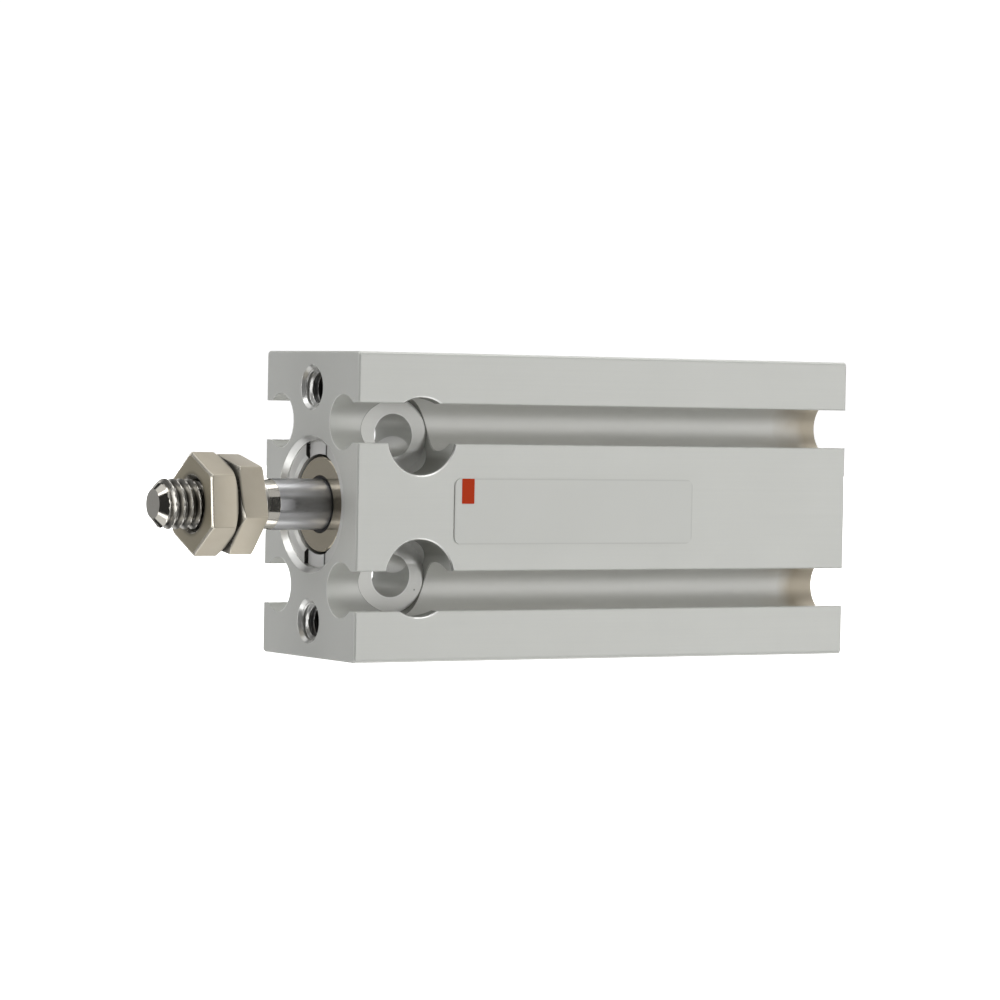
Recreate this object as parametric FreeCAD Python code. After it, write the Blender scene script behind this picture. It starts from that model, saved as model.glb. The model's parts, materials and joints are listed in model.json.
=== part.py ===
import FreeCAD, Part
import math
import os

# A compact double-acting air cylinder with a block body, all sizes in millimetres.
# The origin is the centre of the front mounting face, on the axis of the rod.
# +X runs back along the body, +Z is up, and the rod comes out along -X.

# Block round the bore
bore_diameter = 10.0
stroke = 10.0
wide_side_wall = 2.5
narrow_side_wall = 7.0
front_wall = 12.5
corner_round = 0.3
end_bevel = 0.12

# Switch grooves, two on each wide side, with a straight mouth that opens into a round channel
groove_pitch = 13.0
groove_mouth = 3.1
groove_lip = 0.9
groove_edge_round = 0.12
groove_round = 4.3

# Side mounting holes, counterbored from both wide sides
side_hole_place = 5.7
side_hole_pitch = 11.0
side_hole_diameter = 3.4
side_seat_diameter = 6.0
side_seat_depth = 4.6
side_seat_bevel = 0.12

# Tapped holes in the front face
front_tap_pitch = 18.3
front_tap_diameter = 3.0
front_tap_depth = 5.0
front_tap_sink = 0.28

# Air ports in the top face, set back from each end of the bore
port_inset = 2.0
port_diameter = 5.0
port_depth = 4.5
port_sink = 0.3
port_passage = 2.0

# Gland at the front of the rod: slotted ring, cover, packing with a wiper lip, bush
gland_diameter = 10.0
gland_bevel = 0.4
gland_ring_set_back = 0.5
gland_ring_thickness = 1.1
gland_ring_width = 1.05
gland_ring_bevel = 0.22
spanner_slot_width = 3.4
spanner_slot_depth = 0.35
cover_flange_thickness = 0.7
cover_flange_gap = 0.3
cover_boss_height = 0.75
cover_boss_gap = 0.18
cover_bevel = 0.1
packing_width = 1.7
packing_length = 1.2
packing_notch_depth = 0.5
packing_notch_width = 0.9
wiper_lip_thickness = 0.2
wiper_lip_gap = 0.05
bush_wall = 1.0
bush_spigot = 0.9
bush_bevel = 0.2

# Rod
rod_diameter = 4.0
rod_reach = 13.7
thread_length = 9.1
thread_step = 0.05
thread_engagement = 0.175
thread_tip_bevel = 0.8
shoulder_length = 1.3
shoulder_step = 0.14
spigot_step = 0.5
spigot_past_nut = 0.45
spigot_set_back = 0.35
spigot_socket_depth = 1.4

# Rod-end nuts, jammed with their chamfered faces together and their plain backs outwards
rod_nut_across_flats = 7.0
rod_nut_thickness = 2.4
rod_nut_to_shoulder = 1.0
rod_nut_sink = 0.5
outer_nut_turn = 5.0
inner_nut_turn = 17.0
nut_face_share = 0.96
nut_back_share = 1.07
nut_corner_angle = 30.0

# Piston
piston_clearance = 0.1
piston_bevel = 0.3
piston_front_length = 3.6
magnet_length = 3.0
magnet_set_back = 0.3
hub_diameter = 6.0
piston_groove_place = 1.25
piston_groove_width = 2.2
piston_groove_depth = 1.7
piston_web = 0.85
piston_packing_valley = 0.36
piston_packing_land = 0.3
piston_gasket_cord = 0.76
piston_nut_across_flats = 5.5
piston_nut_thickness = 1.8
piston_nut_room = 0.12
piston_nut_sink = 0.25

# Rubber stops, one at each end of the bore
bumper_thickness = 1.2
bumper_rim_gap = 0.2
bumper_bevel = 0.2

# Rear closure: a plug with a gasket, held by a snap ring
head_step = 0.5
head_thickness = 4.8
head_bevel = 0.3
head_groove_width = 1.5
head_groove_depth = 1.0
gasket_sides = 8
head_dish_diameter = 6.0
head_dish_depth = 0.6
rear_lip = 1.7
snap_ring_thickness = 0.9
snap_ring_play = 0.1
snap_groove_depth = 0.4
snap_ring_width = 1.0
snap_ring_gap_angle = 56.0
snap_lug_diameter = 1.9
snap_lug_hole = 0.9
snap_lug_angle = 37.0

# Film on the middle land of the wide side
label_start = 8.7
label_length = 22.2
label_height = 5.15
label_drop = 0.3
label_thickness = 0.08
label_corner = 0.6

# Clearances
fixed_fit = 0.01
running_fit = 0.03
end_gap = 0.05
cut_past = 1.0
drill_point_angle = 118.0

# Stations along X that follow from the sizes above
cover_flange_front = gland_ring_set_back + gland_ring_thickness
cover_face = cover_flange_front - cover_boss_height
gland_depth = cover_flange_front + cover_flange_thickness
packing_end = gland_depth + packing_length
piston_nut_recess = piston_nut_thickness + spigot_past_nut + spigot_set_back
piston_rear_length = piston_groove_place + piston_groove_width + piston_web + piston_nut_recess
piston_length = piston_front_length + magnet_length + piston_rear_length
piston_start = front_wall + bumper_thickness + end_gap + stroke
magnet_start = piston_start + piston_front_length
piston_rear_start = magnet_start + magnet_length
piston_end = piston_start + piston_length
piston_nut_seat = piston_end - piston_nut_recess
head_seat = piston_end + end_gap + bumper_thickness
head_end = head_seat + head_thickness
snap_groove_end = head_end + snap_ring_thickness + snap_ring_play
body_length = snap_groove_end + rear_lip
thread_end = thread_length - rod_reach
inner_nut_end = thread_end - rod_nut_to_shoulder
inner_nut_start = inner_nut_end - rod_nut_thickness
outer_nut_start = inner_nut_start - rod_nut_thickness

# Widths and radii that several pieces share
block_width = bore_diameter + 2 * wide_side_wall
block_height = bore_diameter + 2 * narrow_side_wall
bore_radius = bore_diameter / 2
rod_radius = rod_diameter / 2
rod_hole_radius = rod_radius + running_fit
thread_radius = rod_radius - thread_step
engaged_radius = thread_radius - thread_engagement
spigot_radius = rod_radius - spigot_step
spigot_hole_radius = spigot_radius + fixed_fit
bush_radius = rod_radius + bush_wall
packing_radius = rod_radius + packing_width
wiper_lip_radius = rod_hole_radius + wiper_lip_thickness
gland_radius = gland_diameter / 2
gland_ring_hole = gland_radius - gland_ring_width
head_radius = bore_radius + head_step
head_groove_radius = head_radius - head_groove_depth
snap_groove_radius = head_radius + snap_groove_depth
hub_radius = hub_diameter / 2
piston_radius = bore_radius - piston_clearance
piston_groove_radius = bore_radius - piston_groove_depth

vector = FreeCAD.Vector
centre = vector(0, 0, 0)
along_x = vector(1, 0, 0)
along_y = vector(0, 1, 0)


def turned(outline):
    # A solid turned about the rod's axis from the corners (x, radius) of half its section.
    corners = [vector(x, 0, radius) for x, radius in outline]
    section = Part.Face(Part.makePolygon(corners + corners[:1]))
    return section.revolve(centre, along_x, 360)


def cord_ring(x, inside_radius, cord):
    # A ring about the rod's axis, centred at x, with a many-sided section inside a round cord's outline.
    radius = cord / 2
    middle = inside_radius + radius
    angles = [2 * math.pi * step / gasket_sides for step in range(gasket_sides)]
    return turned([(x + radius * math.cos(a), middle + radius * math.sin(a)) for a in angles])


def drill_point(radius):
    # How far a drill's cone reaches past the end of a hole of this radius.
    return radius / math.tan(math.radians(drill_point_angle / 2))


def hole_cutter(radius, sink, depth, passage_radius, passage_end):
    # A countersunk blind hole along +X from the origin, with an optional narrower passage below it.
    cone = drill_point(radius) - drill_point(passage_radius)
    return turned([
        (-cut_past, 0),
        (-cut_past, radius + sink + cut_past),
        (sink, radius),
        (depth, radius),
        (depth + cone, passage_radius),
        (passage_end, passage_radius),
        (passage_end, 0),
    ])


def groove_cutter(side, level):
    # A keyhole section: lips with rounded edges at the wide face, then a round channel behind them.
    half_mouth = groove_mouth / 2
    radius = groove_round / 2
    channel_depth = groove_lip + math.sqrt(radius**2 - half_mouth**2)
    outer_mouth = half_mouth + groove_edge_round
    arc_rise = groove_edge_round * (1 - math.sqrt(0.5))

    def at(depth, across):
        return vector(-cut_past, side * (block_width / 2 - depth), level + across)

    def line(start, end):
        return Part.LineSegment(start, end).toShape()

    def arc(start, through, end):
        return Part.Arc(start, through, end).toShape()

    section = [arc(at(groove_lip, half_mouth), at(channel_depth + radius, 0), at(groove_lip, -half_mouth))]
    section.append(line(at(-cut_past, -outer_mouth), at(-cut_past, outer_mouth)))
    for edge in (-1, 1):
        foot = at(groove_edge_round, edge * half_mouth)
        top = at(0, edge * outer_mouth)
        section.append(line(at(groove_lip, edge * half_mouth), foot))
        section.append(arc(foot, at(arc_rise, edge * (half_mouth + arc_rise)), top))
        section.append(line(top, at(-cut_past, edge * outer_mouth)))
    outline = Part.Wire(Part.sortEdges(section)[0])
    return Part.Face(outline).extrude(vector(body_length + 2 * cut_past, 0, 0))


def side_hole_cutter(level):
    # A through hole across the block and a screw-head seat with a bevelled mouth at each end, in one turning.
    half_width = block_width / 2
    floor = half_width - side_seat_depth
    hole = side_hole_diameter / 2
    seat = side_seat_diameter / 2
    mouth = half_width + cut_past
    half = [
        (floor, hole),
        (floor, seat),
        (half_width - side_seat_bevel, seat),
        (mouth, seat + side_seat_bevel + cut_past),
        (mouth, 0),
    ]
    cutter = turned([(-x, radius) for x, radius in reversed(half)] + half)
    cutter.rotate(centre, vector(0, 0, 1), 90)
    cutter.translate(vector(side_hole_place, 0, level))
    return cutter


def bore_cutter():
    # The stepped bore in one turning: gland, packing pocket, bush, piston bore, rear closure.
    mouth = gland_radius + gland_bevel + cut_past
    rear_mouth = head_radius + head_bevel + cut_past
    return turned([
        (-cut_past, 0),
        (-cut_past, mouth),
        (gland_bevel, gland_radius),
        (gland_depth, gland_radius),
        (gland_depth, packing_radius),
        (packing_end, packing_radius),
        (packing_end, bush_radius),
        (front_wall, bush_radius),
        (front_wall, bore_radius),
        (head_seat, bore_radius),
        (head_seat, head_radius),
        (head_end, head_radius),
        (head_end, snap_groove_radius),
        (snap_groove_end, snap_groove_radius),
        (snap_groove_end, head_radius),
        (body_length - head_bevel, head_radius),
        (body_length + cut_past, rear_mouth),
        (body_length + cut_past, 0),
    ])


def port_cutter(x):
    # A threaded air port from the top face, with a passage down into the bore.
    cutter = hole_cutter(port_diameter / 2, port_sink, port_depth, port_passage / 2, block_height / 2)
    cutter.rotate(centre, along_y, 90)
    cutter.translate(vector(x, 0, block_height / 2))
    return cutter


def cylinder_body():
    corner = vector(0, -block_width / 2, -block_height / 2)
    block = Part.makeBox(body_length, block_width, block_height, corner)
    long_edges = [e for e in block.Edges if abs(e.tangentAt(e.FirstParameter).x) > 0.9]
    block = block.makeFillet(corner_round, long_edges)
    end_edges = [e for e in block.Edges if e.BoundBox.XLength < 0.001]
    block = block.makeChamfer(end_bevel, end_edges)
    cutters = [bore_cutter()]
    for level in (-groove_pitch / 2, groove_pitch / 2):
        cutters += [groove_cutter(side, level) for side in (-1, 1)]
    for level in (-side_hole_pitch / 2, side_hole_pitch / 2):
        cutters.append(side_hole_cutter(level))
    tap_radius = front_tap_diameter / 2
    tap_end = front_tap_depth + drill_point(tap_radius)
    for level in (-front_tap_pitch / 2, front_tap_pitch / 2):
        tap = hole_cutter(tap_radius, front_tap_sink, front_tap_depth, 0, tap_end)
        tap.translate(vector(0, 0, level))
        cutters.append(tap)
    cutters += [port_cutter(x) for x in (front_wall + port_inset, head_seat - port_inset)]
    return block.cut(cutters)


def rod_bush():
    outside = bush_radius - fixed_fit
    end = front_wall + bush_spigot
    return turned([
        (packing_end, rod_hole_radius),
        (packing_end, outside - bush_bevel),
        (packing_end + bush_bevel, outside),
        (end - bush_bevel, outside),
        (end, outside - bush_bevel),
        (end, rod_hole_radius),
    ])


def rod_seal():
    # A packing with a pressure notch at the back and a wiper lip that reaches out round the rod.
    outside = packing_radius - fixed_fit
    notch_middle = (outside + rod_hole_radius) / 2
    return turned([
        (packing_end, outside),
        (gland_depth, outside),
        (gland_depth, wiper_lip_radius),
        (cover_face, wiper_lip_radius),
        (cover_face, rod_hole_radius),
        (packing_end, rod_hole_radius),
        (packing_end, notch_middle - packing_notch_width / 2),
        (packing_end - packing_notch_depth, notch_middle),
        (packing_end, notch_middle + packing_notch_width / 2),
    ])


def seal_cover():
    # A flange under the slotted ring, and a boss that shows inside it.
    hole = wiper_lip_radius + wiper_lip_gap
    flange = gland_radius - cover_flange_gap
    boss = gland_ring_hole - cover_boss_gap
    return turned([
        (gland_depth, hole),
        (gland_depth, flange),
        (cover_flange_front, flange),
        (cover_flange_front, boss),
        (cover_face + cover_bevel, boss),
        (cover_face, boss - cover_bevel),
        (cover_face, hole),
    ])


def gland_ring():
    # A ring flush in the recess, with a spanner slot across its face at the top and the bottom.
    outside = gland_radius - fixed_fit
    inside = gland_ring_hole
    ring = turned([
        (cover_flange_front, inside),
        (cover_flange_front, outside),
        (gland_ring_set_back, outside),
        (gland_ring_set_back, inside + gland_ring_bevel),
        (gland_ring_set_back + gland_ring_bevel, inside),
    ])
    corner = vector(gland_ring_set_back - cut_past, -spanner_slot_width / 2, -gland_diameter)
    slots = Part.makeBox(spanner_slot_depth + cut_past, spanner_slot_width, 2 * gland_diameter, corner)
    return ring.cut(slots)


def bumper(start):
    outside = bore_radius - bumper_rim_gap
    inside = bush_radius + running_fit
    end = start + bumper_thickness
    return turned([
        (start, inside),
        (start, outside - bumper_bevel),
        (start + bumper_bevel, outside),
        (end - bumper_bevel, outside),
        (end, outside - bumper_bevel),
        (end, inside),
    ])


def head_cover():
    outside = head_radius - fixed_fit
    groove_start = head_seat + (head_thickness - head_groove_width) / 2
    groove_end = groove_start + head_groove_width
    boss_start = head_seat - bush_spigot
    dish = head_dish_diameter / 2
    return turned([
        (boss_start, 0),
        (boss_start, bush_radius),
        (head_seat, bush_radius),
        (head_seat, outside),
        (groove_start, outside),
        (groove_start, head_groove_radius),
        (groove_end, head_groove_radius),
        (groove_end, outside),
        (head_end - head_bevel, outside),
        (head_end, outside - head_bevel),
        (head_end, dish),
        (head_end - head_dish_depth, dish - head_dish_depth),
        (head_end - head_dish_depth, 0),
    ])


def head_gasket():
    inside = head_groove_radius + fixed_fit
    cord = head_radius - fixed_fit - inside
    return cord_ring(head_seat + head_thickness / 2, inside, cord)


def snap_ring():
    # An open ring in its groove, with two lugs and plier holes beside the gap at the bottom.
    outside = snap_groove_radius - fixed_fit
    inside = outside - snap_ring_width
    foot = vector(head_end, 0, 0)
    ring = Part.makeCylinder(outside, snap_ring_thickness, foot, along_x)
    ring = ring.cut(Part.makeCylinder(inside, snap_ring_thickness, foot, along_x))
    half_gap = math.radians(snap_ring_gap_angle / 2)
    reach = 2 * snap_groove_radius
    gap_corners = [
        foot,
        vector(head_end, -reach * math.tan(half_gap), -reach),
        vector(head_end, reach * math.tan(half_gap), -reach),
    ]
    gap = Part.Face(Part.makePolygon(gap_corners + gap_corners[:1]))
    ring = ring.cut(gap.extrude(vector(snap_ring_thickness, 0, 0)))
    lug_angle = math.radians(snap_lug_angle)
    lug_middle = inside
    for side in (-1, 1):
        across = side * lug_middle * math.sin(lug_angle)
        lug_foot = vector(head_end, across, -lug_middle * math.cos(lug_angle))
        lug = Part.makeCylinder(snap_lug_diameter / 2, snap_ring_thickness, lug_foot, along_x)
        eye = Part.makeCylinder(snap_lug_hole / 2, snap_ring_thickness, lug_foot, along_x)
        ring = ring.fuse(lug).cut(eye)
    return ring.removeSplitter()


def label_film():
    # A thin film with round corners, stuck a little below the middle of the land.
    corner = vector(label_start, -block_width / 2 - label_thickness, -label_height / 2 - label_drop)
    film = Part.makeBox(label_length, label_thickness, label_height, corner)
    corners = [e for e in film.Edges if abs(e.tangentAt(e.FirstParameter).y) > 0.9]
    return film.makeFillet(label_corner, corners)


def piston_rod():
    # Threaded end with a bevelled tip, slight shoulder, plain rod, and a spigot through the piston.
    # The thread stands at its full size, and at its pitch size where the nuts are screwed on.
    spigot_start = piston_start + spigot_socket_depth
    spigot_end = piston_nut_seat + piston_nut_thickness + spigot_past_nut
    return turned([
        (-rod_reach, 0),
        (-rod_reach, thread_radius - thread_tip_bevel),
        (-rod_reach + thread_tip_bevel, thread_radius),
        (outer_nut_start, thread_radius),
        (outer_nut_start, engaged_radius),
        (inner_nut_end, engaged_radius),
        (inner_nut_end, thread_radius),
        (thread_end, thread_radius),
        (thread_end, rod_radius - shoulder_step),
        (thread_end + shoulder_length, rod_radius),
        (spigot_start, rod_radius),
        (spigot_start, spigot_radius),
        (spigot_end, spigot_radius),
        (spigot_end, 0),
    ])


def piston_front():
    socket = rod_radius + fixed_fit
    socket_end = piston_start + spigot_socket_depth
    return turned([
        (piston_start, socket),
        (piston_start, piston_radius - piston_bevel),
        (piston_start + piston_bevel, piston_radius),
        (magnet_start, piston_radius),
        (magnet_start, hub_radius),
        (piston_rear_start, hub_radius),
        (piston_rear_start, spigot_hole_radius),
        (socket_end, spigot_hole_radius),
        (socket_end, socket),
    ])


def piston_magnet():
    inside = hub_radius + fixed_fit
    outside = piston_radius - magnet_set_back
    return turned([
        (magnet_start, inside),
        (magnet_start, outside),
        (piston_rear_start, outside),
        (piston_rear_start, inside),
    ])


def piston_rear():
    groove_start = piston_rear_start + piston_groove_place
    groove_end = groove_start + piston_groove_width
    gasket_room = spigot_radius + piston_gasket_cord + 2 * fixed_fit
    gasket_floor = piston_rear_start + piston_gasket_cord + 2 * fixed_fit
    nut_room = piston_nut_across_flats / math.sqrt(3) + piston_nut_room
    return turned([
        (piston_rear_start, gasket_room),
        (piston_rear_start, piston_radius),
        (groove_start, piston_radius),
        (groove_start, piston_groove_radius),
        (groove_end, piston_groove_radius),
        (groove_end, piston_radius),
        (piston_end - piston_bevel, piston_radius),
        (piston_end, piston_radius - piston_bevel),
        (piston_end, nut_room),
        (piston_nut_seat, nut_room),
        (piston_nut_seat, spigot_hole_radius),
        (gasket_floor, spigot_hole_radius),
        (gasket_floor, gasket_room),
    ])


def piston_seal():
    # Two outward lips with a shallow valley between them.
    start = piston_rear_start + piston_groove_place + running_fit
    end = start + piston_groove_width - 2 * running_fit
    inside = piston_groove_radius + running_fit
    outside = bore_radius - running_fit
    valley = outside - piston_packing_valley
    return turned([
        (start, inside),
        (start, valley),
        (start + piston_packing_valley, outside),
        (start + piston_packing_valley + piston_packing_land, outside),
        ((start + end) / 2, valley),
        (end - piston_packing_valley - piston_packing_land, outside),
        (end - piston_packing_valley, outside),
        (end, valley),
        (end, inside),
    ])


def piston_gasket():
    middle = piston_rear_start + fixed_fit + piston_gasket_cord / 2
    return cord_ring(middle, spigot_radius + fixed_fit, piston_gasket_cord)


def hex_nut(start, thickness, across_flats, hole_radius, sink, turn, start_share, end_share):
    # A hexagon trimmed by a cone at each end, with a countersunk hole. Each share is the radius at which
    # the cone leaves the end, over half the width across flats.
    corner_radius = across_flats / math.sqrt(3)
    start_radius = start_share * across_flats / 2
    end_radius = end_share * across_flats / 2
    slope = math.tan(math.radians(nut_corner_angle))
    end = start + thickness
    corners = []
    for step in range(6):
        angle = math.radians(30 + turn + 60 * step)
        corners.append(vector(start, -corner_radius * math.cos(angle), corner_radius * math.sin(angle)))
    prism = Part.Face(Part.makePolygon(corners + corners[:1])).extrude(vector(thickness, 0, 0))
    trim = turned([
        (start, 0),
        (start, start_radius),
        (start + (corner_radius - start_radius) * slope, corner_radius),
        (end - (corner_radius - end_radius) * slope, corner_radius),
        (end, end_radius),
        (end, 0),
    ])
    hole = turned([
        (start, 0),
        (start, hole_radius + sink),
        (start + sink, hole_radius),
        (end - sink, hole_radius),
        (end, hole_radius + sink),
        (end, 0),
    ])
    return prism.common(trim).cut(hole)


def rod_nut(start, turn, start_share, end_share):
    hole = engaged_radius + fixed_fit
    across = rod_nut_across_flats
    return hex_nut(start, rod_nut_thickness, across, hole, rod_nut_sink, turn, start_share, end_share)


def piston_nut():
    hole = spigot_radius + fixed_fit
    across = piston_nut_across_flats
    shares = (nut_face_share, nut_face_share)
    return hex_nut(piston_nut_seat, piston_nut_thickness, across, hole, piston_nut_sink, 0, *shares)


pieces = {
    "cylinder_body": cylinder_body(),
    "rod_bush": rod_bush(),
    "rod_seal": rod_seal(),
    "seal_cover": seal_cover(),
    "gland_ring": gland_ring(),
    "front_bumper": bumper(front_wall),
    "rear_bumper": bumper(head_seat - bumper_thickness),
    "head_cover": head_cover(),
    "head_gasket": head_gasket(),
    "snap_ring": snap_ring(),
    "label_film": label_film(),
    "piston_seal": piston_seal(),
    "piston_rod": piston_rod(),
    "piston_front": piston_front(),
    "piston_magnet": piston_magnet(),
    "piston_rear": piston_rear(),
    "piston_gasket": piston_gasket(),
    "piston_nut": piston_nut(),
    "rod_nut_inner": rod_nut(inner_nut_start, inner_nut_turn, nut_face_share, nut_back_share),
    "rod_nut_outer": rod_nut(outer_nut_start, outer_nut_turn, nut_back_share, nut_face_share),
}

os.makedirs("parts", exist_ok=True)
for name, shape in pieces.items():
    shape.exportStep(os.path.join("parts", name + ".step"))
    print(name, "solids", len(shape.Solids), "volume", round(shape.Volume, 2), "valid", shape.isValid())
print("body length", round(body_length, 3))
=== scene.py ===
import json
import math
import bmesh
import bpy
import numpy as np
from mathutils import Matrix, Vector


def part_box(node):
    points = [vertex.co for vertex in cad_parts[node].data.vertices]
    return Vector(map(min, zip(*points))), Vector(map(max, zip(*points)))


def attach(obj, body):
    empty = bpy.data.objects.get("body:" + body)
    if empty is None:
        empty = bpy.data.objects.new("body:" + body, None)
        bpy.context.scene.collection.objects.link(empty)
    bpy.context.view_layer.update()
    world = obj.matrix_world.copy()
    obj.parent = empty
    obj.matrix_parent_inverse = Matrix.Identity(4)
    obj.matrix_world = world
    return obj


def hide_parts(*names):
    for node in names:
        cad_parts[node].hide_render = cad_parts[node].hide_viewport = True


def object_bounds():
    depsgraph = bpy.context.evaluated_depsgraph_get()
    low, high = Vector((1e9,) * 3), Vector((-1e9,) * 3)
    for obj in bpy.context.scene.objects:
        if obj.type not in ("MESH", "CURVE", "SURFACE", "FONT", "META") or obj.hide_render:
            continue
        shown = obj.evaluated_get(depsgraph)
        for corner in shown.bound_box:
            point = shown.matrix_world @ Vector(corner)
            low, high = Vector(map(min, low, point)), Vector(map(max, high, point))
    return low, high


# A compact air cylinder with a block body: finishes, threads, nuts, light and camera round the solids.
# The rod runs along X and comes out towards -X. Lengths are written in millimetres and multiplied by mm.
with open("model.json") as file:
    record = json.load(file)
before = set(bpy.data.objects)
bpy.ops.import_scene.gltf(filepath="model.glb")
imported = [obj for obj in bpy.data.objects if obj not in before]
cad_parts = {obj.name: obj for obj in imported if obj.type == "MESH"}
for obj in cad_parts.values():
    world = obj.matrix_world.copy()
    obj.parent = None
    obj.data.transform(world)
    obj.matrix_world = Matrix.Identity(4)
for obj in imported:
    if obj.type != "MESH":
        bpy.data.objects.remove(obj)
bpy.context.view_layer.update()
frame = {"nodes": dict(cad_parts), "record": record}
mm = 0.001
fullTurn = 2 * np.pi
nodes = frame["nodes"]
mounts = {mount["name"]: mount for mount in frame["record"]["mounts"]}
print("frame loaded,", len(nodes), "solids")


# Shapes

joinWithin = 0.0002 * mm  # points closer than this are one, so that a row at the axis becomes a pole


def addPiece(name, grid, body, sharpAngle, wrapRows=False):
    # A skin of quads over a grid of points: columns always close round, rows close where they form a ring.
    # Edges that turn by more than sharpAngle degrees stay sharp.
    rows, columns = grid.shape[:2]
    index = np.arange(rows * columns).reshape(rows, columns)
    index = np.hstack([index, index[:, :1]])
    if wrapRows:
        index = np.vstack([index, index[:1]])
    corners = [index[:-1, :-1], index[:-1, 1:], index[1:, 1:], index[1:, :-1]]
    mesh = bpy.data.meshes.new(name)
    mesh.from_pydata(grid.reshape(-1, 3), [], np.stack(corners, -1).reshape(-1, 4))
    shell = bmesh.new()
    shell.from_mesh(mesh)
    bmesh.ops.remove_doubles(shell, verts=shell.verts, dist=joinWithin)
    bmesh.ops.recalc_face_normals(shell, faces=shell.faces)
    shell.to_mesh(mesh)
    shell.free()
    mesh.shade_smooth()
    mesh.set_sharp_from_angle(angle=math.radians(sharpAngle))
    piece = bpy.data.objects.new(name, mesh)
    bpy.context.scene.collection.objects.link(piece)
    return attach(piece, body)


def roundAboutX(x, radius, angle):
    # Points at distance radius from the rod's axis: y = r cos a, z = r sin a.
    return np.stack(np.broadcast_arrays(x, radius * np.cos(angle), radius * np.sin(angle)), -1)


def smooth(low, high, value):
    # 0 up to low, 1 from high, and an even S between them.
    share = np.clip((value - low) / (high - low), 0, 1)
    return share * share * (3 - 2 * share)


# Thread tooth: where its flank begins and ends, in pitches from the crest, and how round the flank is
tooth = {"root": 0.39, "crest": 0.05, "roundness": 0.12}


def threadHeight(x, angle, pitch):
    # Right-hand helix: the tooth is 1 on the crest and 0 in the root, and its flanks are nearly straight.
    fromCrest = np.abs(np.mod(x / pitch - angle / fullTurn, 1) - 0.5)
    flank = np.clip((tooth["root"] - fromCrest) / (tooth["root"] - tooth["crest"]), 0, 1)
    return flank + tooth["roundness"] * np.sin(fullTurn * flank) / fullTurn


# Piston rod with its rolled thread
rod = {
    "pitch": 0.7 * mm,
    "toothDepth": 0.42 * mm,
    "rowsPerPitch": 18,
    "around": 144,
    "tipBevel": 0.8 * mm,
    "tipLength": 0.76 * mm,
    "tipRound": 0.08 * mm,
    "turnedTip": (0.01 * mm, 0.7 * mm),  # stretch of the bevel that is left as turned, from the tip
    "runOut": 0.5 * mm,
    "nutToShoulder": 1.0 * mm,
    "shoulderLength": 0.95 * mm,
    "shoulderStep": 0.102 * mm,
    "jointRound": 0.03 * mm,
    "spigotRadius": 1.5 * mm,
    "spigotStart": 25.15 * mm,
    "insideNut": 1.775 * mm,  # radius that clears the hole of the nuts
    "nutMouth": 0.45 * mm,
    "sharpAngle": 40,
    "finishes": ("polished_rod_steel", "rolled_thread", "turned_shoulder"),
}


def pistonRod():
    # Radius over (x, angle): a bevelled tip, the thread, a slight cone, the plain rod and a thinner spigot.
    # The thread is the least of its helix, the bevel at the tip and the limit inside the nuts.
    low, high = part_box("piston_rod")
    tip, end, plain = low.x, high.x, high.z
    outer = mounts["rod_thread"]["dims"]["r_mm"] * mm
    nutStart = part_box("rod_nut_outer")[0].x
    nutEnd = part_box("rod_nut_inner")[1].x
    threadEnd = nutEnd + rod["nutToShoulder"]
    coneEnd = threadEnd + rod["shoulderLength"]
    x = np.arange(tip, threadEnd, rod["pitch"] / rod["rowsPerPitch"])[:, None]
    angle = np.linspace(0, fullTurn, rod["around"], endpoint=False)[None, :]
    depth = rod["toothDepth"] * (1 - smooth(threadEnd - rod["runOut"], threadEnd, x))
    thread = outer - depth * (1 - threadHeight(x, angle, rod["pitch"]))
    bevel = outer - rod["tipBevel"] * (1 - (x - tip) / rod["tipLength"])
    mouth = rod["nutMouth"]
    insideNuts = smooth(nutStart, nutStart + mouth, x) * (1 - smooth(nutEnd - mouth, nutEnd, x))
    limit = outer + insideNuts * (rod["insideNut"] - outer)
    threaded = roundAboutX(x, np.minimum(np.minimum(thread, bevel), limit), angle)

    # Rows of (x, radius) before and behind the thread
    face = outer - rod["tipBevel"]
    tipRows = [(tip, 0), (tip, face / 2), (tip, face - rod["tipRound"])]
    spigot, joint = rod["spigotStart"], rod["jointRound"]
    rodRows = [
        (threadEnd, outer), (threadEnd, plain - rod["shoulderStep"]),
        (coneEnd - joint, plain - rod["shoulderStep"] * joint / rod["shoulderLength"]), (coneEnd, plain),
        (coneEnd + joint, plain), (spigot, plain), (spigot, rod["spigotRadius"]),
        (end, rod["spigotRadius"]), (end, 0),
    ]
    tipGrid, rodGrid = [
        roundAboutX(np.array(rows)[:, :1], np.array(rows)[:, 1:], angle) for rows in (tipRows, rodRows)
    ]
    grid = np.vstack([tipGrid, threaded, rodGrid])
    piece = addPiece("piston_rod_threaded", grid, "rod", rod["sharpAngle"])
    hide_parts("piston_rod")

    # Finish of each face, by its place along X
    centres = np.empty(len(piece.data.polygons) * 3)
    piece.data.polygons.foreach_get("center", centres)
    along = centres[::3]
    polished, rolled, turned = range(len(rod["finishes"]))
    finish = np.where(along < threadEnd, rolled, np.where(along < coneEnd, turned, polished))
    turnedStart, turnedEnd = rod["turnedTip"]
    onTip = (along > tip + turnedStart) & (along < tip + turnedEnd)
    return piece, np.where(onTip, turned, finish).astype(np.int32)


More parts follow.
